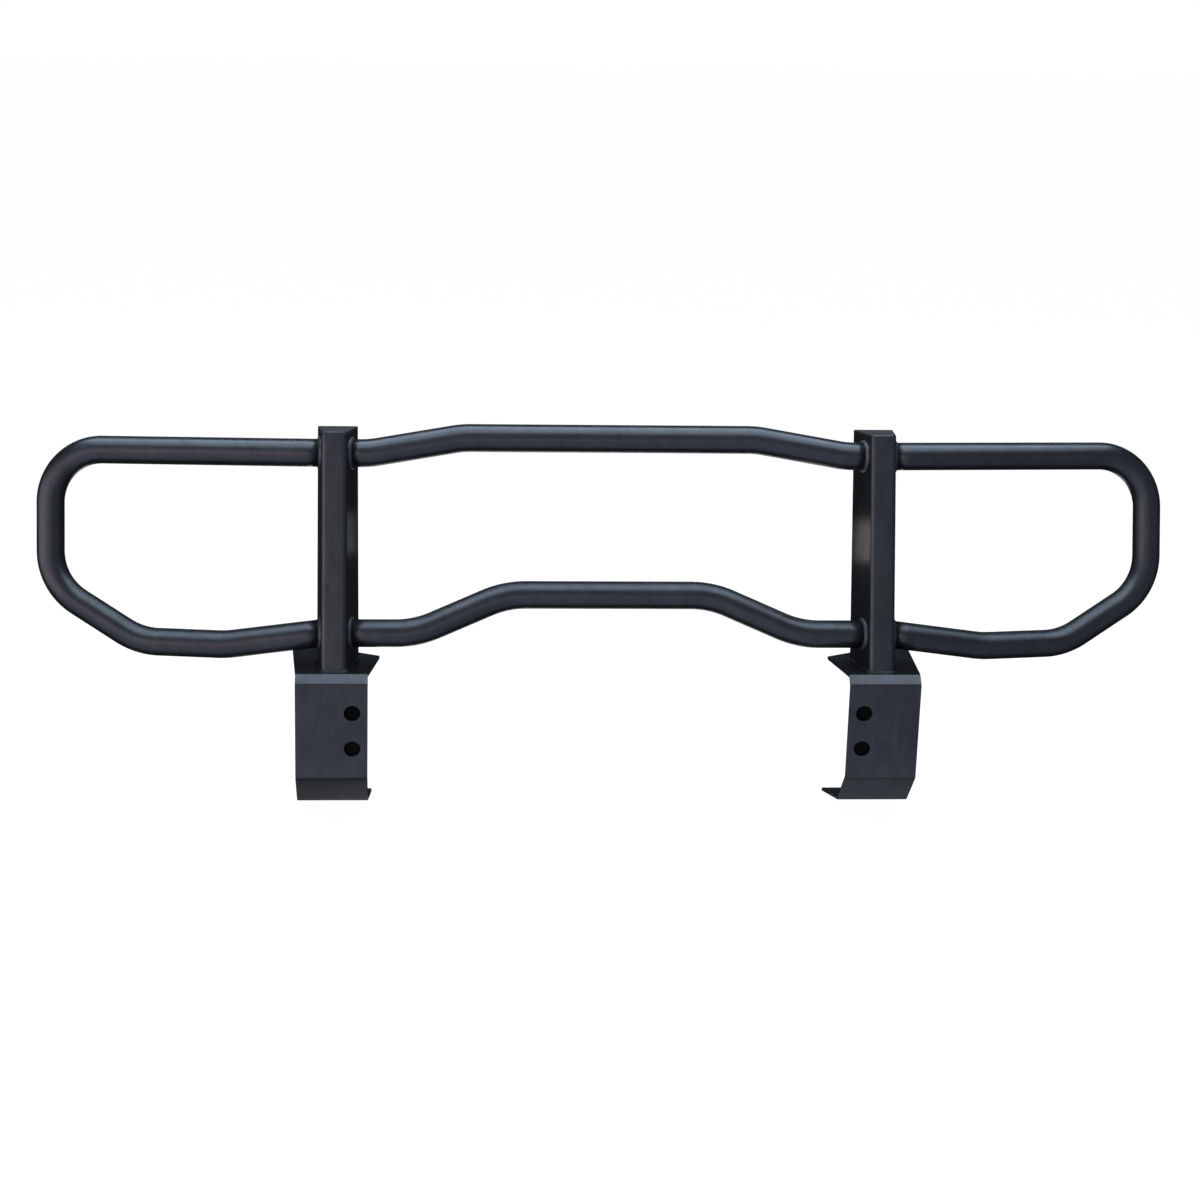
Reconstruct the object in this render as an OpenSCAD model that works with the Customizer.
// Front grille guard: a welded tube-and-plate guard that stands on a vehicle's front bumper.
// Two bent-plate uprights stand on two wrap-around bumper brackets. Two centre tubes join
// the uprights, and a closed-ended loop of the same tube is welded to the outside of each.
// The frame: +X to the right as seen from in front, +Y towards the vehicle, +Z up.
// X = 0 is the mid-plane, Z = 0 is the lowest edge of the brackets, and Y = 0 is mid-depth.
// Left and right are as seen from in front of the guard.

/* [Tube] */
// Outside diameter of every tube
tube_od = 42.4; // [38:0.1:45]
// Wall of every tube
tube_wall = 2.6; // [1.5:0.1:4]
// Centre-line bend radius of the upper outer corners of the side loops
loop_bend_r = 80; // [60:1:95]
// Centre-line bend radius of the lower outer corners of the side loops
loop_low_bend_r = 92; // [70:1:110]
// Centre-line bend radius of the shallow bends
sweep_bend_r = 150; // [90:5:200]

/* [Uprights] */
// Distance from the mid-plane to the middle of an upright's front face
upright_x = 415.9; // [405:0.2:425]
// Width of the front face
upright_w = 37.3; // [30:0.2:40]
// Depth of an upright at the cap, level with the ground
upright_depth = 83.5; // [74:0.5:88]
// Depth of an upright at the foot, level with the ground
foot_depth = 93; // [88:0.5:98]
// How far the inner side flares out between the front face and the back edge, at the cap
flare_in = 15.5; // [8:0.1:20]
// How far the outer side flares out between the front face and the back edge, at the cap
flare_out = 8.6; // [2:0.1:12]
// Plate thickness of the uprights and their caps
upright_t = 4; // [3:0.5:5]
// Outside radius of the two front corners
upright_r = 7.5; // [6:0.5:10]
// Height of the front top edge above the brackets
upright_h = 356.5; // [345:0.5:365]
// Backward lean of the guard from the vertical, in degrees
lean = 10; // [8:0.5:12]
// Fall of the cap towards the vehicle, in degrees
cap_fall = 2.6; // [0:0.2:5]
// Distance from the facet's top edge to the foot of the upright
foot_y = 6.8; // [5:0.2:10]

/* [Centre tubes] */
// Height of the upper tube's axis at the uprights, above the brackets
upper_z = 319; // [314:1:322]
// Rise of the upper tube between the uprights
upper_rise = 23.6; // [10:0.2:30]
// Distance from the mid-plane to the outer bend of the upper tube
upper_x_out = 363; // [355:1:368]
// Distance from the mid-plane to the inner bend of the upper tube
upper_x_in = 223.5; // [200:0.5:250]
// Height of the lower tube's axis at the uprights, above the brackets
lower_z = 50.5; // [46:0.5:56]
// Rise of the lower tube between the uprights
lower_rise = 57.8; // [40:0.2:65]
// Distance from the mid-plane to the outer bend of the lower tube
lower_x_out = 292.7; // [285:0.5:300]
// Distance from the mid-plane to the inner bend of the lower tube
lower_x_in = 156.7; // [150:0.5:170]
// Distance of the tube axes behind the uprights' front faces, level with the ground
tube_back = 38.2; // [36:0.2:42]

/* [Side loops] */
// Backward sweep of the side loops, in degrees
loop_sweep = 9.65; // [5:0.05:12]
// Distance from the mid-plane to the outermost tube axis
loop_x = 850; // [820:1:880]
// Height of the upper outer corner above the brackets
loop_top_z = 311.7; // [300:0.1:318]
// Height of the lower end of the loop's outermost straight, above the brackets
loop_side_z = 108.5; // [95:0.5:120]
// Distance from the mid-plane to the outer bottom bend
loop_bot_x_out = 713; // [700:1:730]
// Distance from the mid-plane to the inner bottom bend
loop_bot_x_in = 580.8; // [570:0.2:600]
// Height of the loop's bottom run above the brackets
loop_bot_z = 27.8; // [22:0.2:34]

/* [Brackets] */
// Plate thickness of the brackets
bracket_t = 5; // [4:0.5:6]
// Distance from the mid-plane to a bracket's inner edge, at the top
bracket_x_in = 364.6; // [362:0.1:368]
// Distance from the mid-plane to a bracket's outer edge, at the top
bracket_x_out = 473.6; // [472:0.1:480]
// How much further out both edges stand at the bottom
bracket_set = 2; // [0:0.2:4]
// How far the bottom flange's inner rear corner points back towards the mid-plane
heel_point = 4; // [0:0.5:6]
// Reach of the sloping facet between top and face, level with the ground
facet_y = 14; // [11:0.5:16]
// Drop of the sloping facet between top and face
facet_drop = 14; // [12:0.5:18]
// Outside radius of the bends at the facet's two edges
bend_r = 6.5; // [6:0.5:8]
// Undercut of the bracket's face from the vertical, in degrees
face_tilt = 9.5; // [5:0.5:10]
// Height of the bend below the face, measured down from the bracket's top
face_drop = 167; // [150:1:170]
// Height of the bottom bend, measured down from the bracket's top
toe_drop = 221; // [216:0.5:224]
// Distance from the facet's top edge to the bottom bend
toe_y = 82; // [74:1:90]
// Height of the bottom flange's rear edge, measured down from the bracket's top
heel_drop = 247; // [240:1:250]
// Distance from the facet's top edge to the bottom flange's rear edge
heel_y = 225; // [200:1:240]
// Distance from the facet's top edge to the top flange's inner rear corner
top_y_in = 120.6; // [110:0.2:130]
// Distance from the facet's top edge to the top flange's outer rear corner
top_y_out = 216; // [180:1:220]
// How far the top flange's inner rear corner points towards the mid-plane
top_point = 16; // [0:0.5:22]
// How far the top flange flares outwards at its outer rear corner
top_flare = 13.5; // [0:0.5:18]
// Diameter of the bolt access holes
hole_d = 25; // [20:0.5:27]
// Distance of the bolt holes from the bracket's inner edge
hole_in = 23.8; // [20:0.2:30]
// Height of the upper bolt hole, measured down from the bracket's top
hole_drop = 60; // [50:0.5:70]
// Distance between the two bolt holes, along the face
hole_pitch = 58.5; // [50:0.5:65]

/* [Pads and welds] */
// Thickness of the rubber pad behind a bracket's face
pad_t = 4; // [3:0.5:6]
// Leg length of the fillet welds round the tubes
weld_leg = 4; // [3:0.5:5]
// Leg length of the fillet welds round the uprights' feet
foot_leg = 4.5; // [3:0.5:6]

/* [Hidden] */
steel = [0.13, 0.13, 0.15];
weld = [0.17, 0.17, 0.19];
rubber = [0.05, 0.05, 0.05];
$fn = 72;

// The pieces are built for the right-hand side, with Y = 0 at the facet's top edge and
// Z = 0 at the bracket's top, and are placed in the guard's frame at the end.

// ---------------------------------------------------------------- bent sections
// A bend stands proud of its straights, by plate_proud in plate and by tube_proud in tube,
// and the straights run a little way into it (twice seam in tube), so they join as one solid
plate_proud = 0.01;
tube_proud = 0.1;
seam = 0.3;

function unit(v) = v / norm(v);
function reversed(list) = [for (i = [len(list) - 1:-1:0]) list[i]];

// A path is a list of corner points, in 2D or 3D; radii has one bend radius for each point.
// Direction of the straight from point i to the next
function run_dir(path, i) = unit(path[i + 1] - path[i]);
// Angle the path turns through at point i
function turn(path, i) = acos(max(-1, min(1, run_dir(path, i - 1) * run_dir(path, i))));
// Tangent length, start, end and centre of the bend at point i
function bend_len(path, radii, i) = radii[i] * tan(turn(path, i) / 2);
function bend_start(path, radii, i) = path[i] - run_dir(path, i - 1) * bend_len(path, radii, i);
function bend_end(path, radii, i) = path[i] + run_dir(path, i) * bend_len(path, radii, i);
function bend_centre(path, radii, i) =
    path[i] + unit(run_dir(path, i) - run_dir(path, i - 1)) * radii[i] / cos(turn(path, i) / 2);
// Ends of the straight after point i, running into the bends by overlap
function run_start(path, radii, i, overlap) =
    i == 0 ? path[0] : bend_end(path, radii, i) - run_dir(path, i) * overlap;
function run_end(path, radii, i, overlap) =
    i == len(path) - 2 ? path[i + 1]
                       : bend_start(path, radii, i + 1) + run_dir(path, i) * overlap;

// A strip of plate lying to the left of the open 2D path, its bends' outside radii in radii
module bent_strip(path, radii, thickness) {
    for (i = [0:len(path) - 2]) {
        dir = run_dir(path, i);
        start = run_start(path, radii, i, seam);
        end = run_end(path, radii, i, seam);
        across = [-dir[1], dir[0]] * thickness;
        polygon([start, end, end + across, start + across]);
    }
    for (i = [1:len(path) - 2]) {
        centre = bend_centre(path, radii, i);
        // the wedge reaches well beyond the bend
        reach = 2 / cos(turn(path, i) / 2);
        intersection() {
            difference() {
                translate(centre) circle(r = radii[i] + plate_proud);
                translate(centre) circle(r = radii[i] - thickness - plate_proud);
            }
            polygon([centre,
                     centre + (bend_start(path, radii, i) - centre) * reach,
                     centre + (path[i] - centre) * reach,
                     centre + (bend_end(path, radii, i) - centre) * reach]);
        }
    }
}

// Puts a child's Z axis on the line through point along dir
module along(point, dir) {
    translate(point) rotate([0, acos(dir[2]), atan2(dir[1], dir[0])]) children();
}

// A round bar along the 3D path, its bends' centre-line radii in radii
module bar(path, radii, bar_r) {
    for (i = [0:len(path) - 2]) {
        start = run_start(path, radii, i, 2 * seam);
        end = run_end(path, radii, i, 2 * seam);
        along(start, run_dir(path, i)) cylinder(r = bar_r, h = norm(end - start));
    }
    for (i = [1:len(path) - 2]) {
        before = run_dir(path, i - 1);
        after = run_dir(path, i);
        inward = unit(after - before * (after * before));
        axis = cross(-inward, before);
        centre = bend_centre(path, radii, i);
        multmatrix([[-inward[0], before[0], axis[0], centre[0]],
                    [-inward[1], before[1], axis[1], centre[1]],
                    [-inward[2], before[2], axis[2], centre[2]],
                    [0, 0, 0, 1]])
            rotate_extrude(angle = turn(path, i))
                translate([radii[i], 0]) circle(r = bar_r + tube_proud);
    }
}

// ---------------------------------------------------------------- uprights
// Section of an upright, square to its front face: x outwards, y towards the vehicle.
// It is deeper than the foot, and is trimmed at the back edges.
section_depth = foot_depth + 6;
front_in = [-upright_w / 2, 0];
front_out = [upright_w / 2, 0];
rear_in = front_in + [-flare_in / upright_depth, 1] * section_depth;
rear_out = front_out + [flare_out / upright_depth, 1] * section_depth;
section_path = [rear_in, front_in, front_out, rear_out];
section_radii = [0, upright_r, upright_r, 0];

foot_at = [upright_x, foot_y, 0];
lean_slope = tan(lean);
// Slope of the back edges, from the foot to the cap
rear_lean = atan((lean_slope * upright_h + upright_depth - foot_depth) / upright_h);

// Leaning stock the uprights are cut from, and how far it starts below the foot
stock_h = 480;
stock_below = 40;
// Sizes of the trimming blocks, and how far they reach forwards or down
cap_block = [120, 300, 500];
cap_block_front = 120;
foot_block = [120, 320, 500];
foot_block_front = 40;
rear_block = [140, 300, 500];
rear_block_below = 60;

module upright_outline() {
    polygon([rear_in,
             for (i = [1, 2]) each [bend_start(section_path, section_radii, i),
                                    bend_centre(section_path, section_radii, i),
                                    bend_end(section_path, section_radii, i)],
             rear_out]);
    translate(bend_centre(section_path, section_radii, 1)) circle(r = upright_r);
    translate(bend_centre(section_path, section_radii, 2)) circle(r = upright_r);
}

// The upright's own axes: leaning back, standing at the foot
module leaning() {
    translate(foot_at) rotate([-lean, 0, 0]) children();
}

// A 2D section drawn up along the leaning upright
module leaning_stock(height = stock_h) {
    leaning() translate([0, 0, -stock_below]) linear_extrude(height = height) children();
}

// A block that keeps what lies below the cap's top, raised by lift
module below_cap(lift) {
    translate([upright_x - cap_block[0] / 2, foot_y + lean_slope * upright_h, upright_h + lift])
        rotate([-cap_fall, 0, 0])
            translate([0, -cap_block_front, -cap_block[2]]) cube(cap_block);
}

// A block that keeps what lies in front of the upright's back edges, less inset
module before_rear(inset) {
    translate([upright_x - rear_block[0] / 2, foot_y + foot_depth - inset, 0])
        rotate([-rear_lean, 0, 0])
            translate([0, -rear_block[1], -rear_block_below]) cube(rear_block);
}

module above_bracket() {
    translate([upright_x - foot_block[0] / 2, foot_y - foot_block_front, 0]) cube(foot_block);
}

module upright() {
    intersection() {
        leaning_stock() bent_strip(section_path, section_radii, upright_t);
        above_bracket();
        below_cap(-upright_t);
        before_rear(0);
    }
}

module upright_cap() {
    intersection() {
        leaning_stock() upright_outline();
        below_cap(0);
        difference() {
            above_bracket();
            below_cap(-upright_t);
        }
        before_rear(0);
    }
}

// The whole space between an upright's sides, flat-sided, for the tube ends to stop at
module upright_block() {
    leaning_stock() polygon(section_path);
}

// ---------------------------------------------------------------- tubes
tube_r = tube_od / 2;
bore_r = tube_r - tube_wall;
upright_x_out = upright_x + upright_w / 2;
sweep_slope = tan(loop_sweep);
// How far the loop's ends run into the upright before they are trimmed
loop_end_run = 22;

// A point on a tube axis: the axes lean back with the uprights, and the loops sweep back too
function axis_at(x, z) =
    [x, foot_y + tube_back + lean_slope * z + sweep_slope * max(0, x - upright_x_out), z];

// Right halves of the centre tubes' axes, from the upright inwards
upper_half = [axis_at(upright_x, upper_z),
              axis_at(upper_x_out, upper_z),
              axis_at(upper_x_in, upper_z + upper_rise)];
lower_half = [axis_at(upright_x, lower_z),
              axis_at(lower_x_out, lower_z),
              axis_at(lower_x_in, lower_z + lower_rise)];
centre_radii = [0, sweep_bend_r, sweep_bend_r, sweep_bend_r, sweep_bend_r, 0];
// Axis of a whole centre tube, from left to right
function whole_axis(half) = concat([for (p = half) [-p[0], p[1], p[2]]], reversed(half));

// Loop axis: where it leaves the upright, its corners from the top round to the bottom,
// and the directions in which its two ends leave the upright
loop_top = axis_at(upright_x_out, upper_z);
loop_low = axis_at(upright_x_out, lower_z);
loop_corners = [axis_at(loop_x, loop_top_z),
                axis_at(loop_x, loop_side_z),
                axis_at(loop_bot_x_out, loop_bot_z),
                axis_at(loop_bot_x_in, loop_bot_z)];
loop_top_dir = unit(loop_corners[0] - loop_top);
loop_low_dir = unit(loop_corners[3] - loop_low);
loop_path = concat([loop_top - loop_top_dir * loop_end_run],
                   loop_corners,
                   [loop_low - loop_low_dir * loop_end_run]);
// The outer bottom bend is tighter than the other shallow bends
loop_radii = [0, loop_bend_r, loop_low_bend_r, sweep_bend_r * 0.75, sweep_bend_r, 0];

module centre_tube(half) {
    path = whole_axis(half);
    difference() {
        bar(path, centre_radii, tube_r);
        bar(path, centre_radii, bore_r);
        upright_block();
        mirror([1, 0, 0]) upright_block();
    }
}

module side_loop() {
    difference() {
        bar(loop_path, loop_radii, tube_r);
        bar(loop_path, loop_radii, bore_r);
        upright_block();
    }
}

// ---------------------------------------------------------------- brackets
// Outside radii of the bends below the face and at the toe
face_end_r = 14;
toe_r = 9;
// How far the top flange and the flange outline run on behind the rear edges
rear_over = 20;

// Outer surface of the bent plate in side view: x is depth, y is height
face_dir = [sin(face_tilt), -cos(face_tilt)];
face_inward = [cos(face_tilt), sin(face_tilt)];
face_top = [-facet_y, -facet_drop];
// the face's line carried up to the bracket's top
top_corner = face_top - face_dir * facet_drop / cos(face_tilt);
face_len = face_drop / cos(face_tilt);
bracket_path = [[top_y_out + rear_over, 0],
                [0, 0],
                face_top,
                top_corner + face_dir * face_len,
                [toe_y, -toe_drop],
                [heel_y, -heel_drop]];
bracket_radii = [0, bend_r, bend_r, face_end_r, toe_r, 0];

// The plate's blank: its width and how far it starts inside the inner edge
blank_w = 200;
blank_x = bracket_x_in - 40;
// Extent of the outlines that trim the blank
cut_x_in = bracket_x_in - 80;
cut_x_out = bracket_x_out + 80;
cut_front = -60;
cut_rear = 400;
// The plan trims the plate down to split_drop; the lower outline takes over, down to low_drop
split_drop = 30;
low_drop = 300;
lap = 0.5;
// Outward set of the edges at the toe
toe_set = bracket_set * (toe_drop - split_drop) / (low_drop - split_drop);
// How much further out the bottom flange's outline stands at its outer rear end
heel_flare = 2;
// The hole cutters start this far in front of the face
hole_cut_front = 20;
hole_cut_len = 45;

// Turns a 2D outline of depth and height into a solid of the given width along X
module side_view(width) {
    rotate([90, 0, 90]) linear_extrude(height = width) children();
}

module bracket_plate() {
    translate([blank_x, 0, 0]) side_view(blank_w)
        bent_strip(bracket_path, bracket_radii, bracket_t);
}

// An upright cutter through the plan's block, its outline seen from above
module plan_cutter(outline) {
    translate([0, 0, -split_drop - 1]) linear_extrude(height = 2 * (split_drop + 1))
        polygon(outline);
}

// Keeps the top flange and facet: a block cut away behind, inside and outside
module bracket_plan() {
    inner_corner = [bracket_x_in - top_point, top_y_in];
    outer_corner = [bracket_x_out + top_flare, top_y_out];
    difference() {
        translate([blank_x, -40, -split_drop]) cube([blank_w, 300, 2 * split_drop]);
        plan_cutter([inner_corner, outer_corner, [cut_x_out, cut_rear], [cut_x_in, cut_rear],
                     [cut_x_in, top_y_in]]);
        plan_cutter([[bracket_x_in, 0], inner_corner, [cut_x_in, top_y_in],
                     [cut_x_in, cut_front], [bracket_x_in, cut_front]]);
        plan_cutter([[bracket_x_out, cut_front], [cut_x_out, cut_front], [cut_x_out, cut_rear],
                     outer_corner, [bracket_x_out, 0]]);
    }
}

// Keeps the lower part: the face as seen from in front, and the bottom flange from above
module lower_outline() {
    intersection() {
        translate([0, cut_rear, 0]) rotate([90, 0, 0]) linear_extrude(height = 500)
            polygon([[bracket_x_in, lap - split_drop],
                     [bracket_x_out, lap - split_drop],
                     [bracket_x_out, -split_drop],
                     [bracket_x_out + bracket_set, -low_drop],
                     [bracket_x_in + bracket_set, -low_drop],
                     [bracket_x_in, -split_drop]]);
        translate([blank_x, cut_front, -low_drop]) cube([blank_w, toe_y - cut_front + lap, 290]);
    }
    translate([0, 0, -low_drop]) linear_extrude(height = 100)
        polygon([[bracket_x_in + toe_set, toe_y],
                 [bracket_x_in + toe_set - heel_point, heel_y + rear_over],
                 [bracket_x_out + toe_set + heel_flare, heel_y + rear_over],
                 [bracket_x_out + toe_set, toe_y]]);
}

// Centre of a bolt hole on the face's outer surface, at the given drop
function hole_at(drop) =
    [bracket_x_in + hole_in, top_corner[0] + tan(face_tilt) * drop, -drop];

module bracket() {
    difference() {
        union() {
            intersection() {
                bracket_plate();
                bracket_plan();
            }
            intersection() {
                bracket_plate();
                lower_outline();
            }
        }
        for (i = [0, 1])
            translate(hole_at(hole_drop + i * hole_pitch * cos(face_tilt)))
                rotate([face_tilt - 90, 0, 0])
                    translate([0, 0, -hole_cut_front]) cylinder(d = hole_d, h = hole_cut_len);
    }
}

// A flat pad on the inside of the face, clear of both bends
pad_top_gap = 28;
pad_low_gap = 16;
pad_side_gap = 4;

module bumper_pad() {
    top = top_corner + face_dir * pad_top_gap + face_inward * bracket_t;
    low = top_corner + face_dir * (face_len - pad_low_gap) + face_inward * bracket_t;
    back = face_inward * pad_t;
    translate([bracket_x_in + pad_side_gap, 0, 0])
        side_view(bracket_x_out - bracket_x_in - 2 * pad_side_gap)
            polygon([top, low, low + back, top + back]);
}

// ---------------------------------------------------------------- welds
// Thickness left at the thin edge of the tube welds and of the foot welds
tube_weld_edge = 0.6;
foot_weld_edge = 0.4;
// How far short of the back edges the foot weld ends
foot_weld_gap = 5;
foot_slice_h = 0.05;
// The bore through a weld ring reaches this far each way
weld_bore_reach = 80;

// Outward normals of an upright's inner and outer sides, in its leaning axes
side_in_normal = unit([-upright_depth, -flare_in, 0]);
side_out_normal = unit([upright_depth, -flare_out, 0]);

// A direction turned into the upright's leaning axes
function dir_lean(v) = [v[0],
                        v[1] * cos(lean) - v[2] * sin(lean),
                        v[1] * sin(lean) + v[2] * cos(lean)];
// Where the line from point along dir meets the plane through origin with the given normal
function meet(point, dir, origin, normal) =
    point + dir * ((normal * (origin - point)) / (normal * dir));

// A fillet ring where the tube axis through point along dir meets an upright's side,
// which passes through the section's front corner and has the given normal
module weld_ring(point, dir, corner, normal) {
    centre = meet(dir_lean(point - foot_at), dir_lean(dir), [corner[0], corner[1], 0], normal);
    difference() {
        leaning() translate(centre) rotate([0, 90, atan2(normal[1], normal[0])])
            cylinder(r1 = tube_r + weld_leg, r2 = tube_r + tube_weld_edge, h = weld_leg);
        along(point, dir)
            translate([0, 0, -weld_bore_reach]) cylinder(r = tube_r, h = 2 * weld_bore_reach);
    }
}

module inner_weld(half) {
    weld_ring(half[0], [-1, 0, 0], front_in, side_in_normal);
}

module outer_weld(point, dir) {
    weld_ring(point, dir, front_out, side_out_normal);
}

// A thin slice of the upright's outline at height z, grown outwards by growth
module foot_slice(z, growth) {
    translate([upright_x, foot_y + lean_slope * z, z]) linear_extrude(height = foot_slice_h)
        offset(r = growth, $fn = 32) scale([1, 1 / cos(lean)]) upright_outline($fn = 32);
}

// A fillet along the front and both sides of the foot, open at the channel's back
module foot_weld() {
    difference() {
        intersection() {
            hull() {
                foot_slice(0, foot_leg);
                foot_slice(foot_leg, foot_weld_edge);
            }
            above_bracket();
            before_rear(foot_weld_gap);
        }
        leaning_stock(80) upright_outline();
    }
}

// ---------------------------------------------------------------- placing
// Foremost point is on the bend above the face, rearmost on the bottom flange's rear edge
front_y = bend_centre(bracket_path, bracket_radii, 2)[0] - bend_r - plate_proud;
rear_y = heel_y + bracket_t * sin(atan((heel_drop - toe_drop) / (heel_y - toe_y)));
y_mid = (front_y + rear_y) / 2;

// Pieces of the right-hand side and the centre, and their mirror images on the left
module right() { translate([0, -y_mid, heel_drop]) children(); }
module left() { mirror([1, 0, 0]) right() children(); }

module left_upright() { color(steel) left() upright(); }
module right_upright() { color(steel) right() upright(); }
module left_upright_cap() { color(steel) left() upright_cap(); }
module right_upright_cap() { color(steel) right() upright_cap(); }
module left_bracket() { color(steel) left() bracket(); }
module right_bracket() { color(steel) right() bracket(); }
module left_bumper_pad() { color(rubber) left() bumper_pad(); }
module right_bumper_pad() { color(rubber) right() bumper_pad(); }
module upper_centre_tube() { color(steel) right() centre_tube(upper_half); }
module lower_centre_tube() { color(steel) right() centre_tube(lower_half); }
module left_side_loop() { color(steel) left() side_loop(); }
module right_side_loop() { color(steel) right() side_loop(); }
module left_upper_inner_weld() { color(weld) left() inner_weld(upper_half); }
module left_upper_outer_weld() { color(weld) left() outer_weld(loop_top, loop_top_dir); }
module left_lower_inner_weld() { color(weld) left() inner_weld(lower_half); }
module left_lower_outer_weld() { color(weld) left() outer_weld(loop_low, loop_low_dir); }
module right_upper_inner_weld() { color(weld) right() inner_weld(upper_half); }
module right_upper_outer_weld() { color(weld) right() outer_weld(loop_top, loop_top_dir); }
module right_lower_inner_weld() { color(weld) right() inner_weld(lower_half); }
module right_lower_outer_weld() { color(weld) right() outer_weld(loop_low, loop_low_dir); }
module left_foot_weld() { color(weld) left() foot_weld(); }
module right_foot_weld() { color(weld) right() foot_weld(); }

left_upright();
right_upright();
left_upright_cap();
right_upright_cap();
left_bracket();
right_bracket();
left_bumper_pad();
right_bumper_pad();
upper_centre_tube();
lower_centre_tube();
left_side_loop();
right_side_loop();
left_upper_inner_weld();
left_upper_outer_weld();
left_lower_inner_weld();
left_lower_outer_weld();
right_upper_inner_weld();
right_upper_outer_weld();
right_lower_inner_weld();
right_lower_outer_weld();
left_foot_weld();
right_foot_weld();
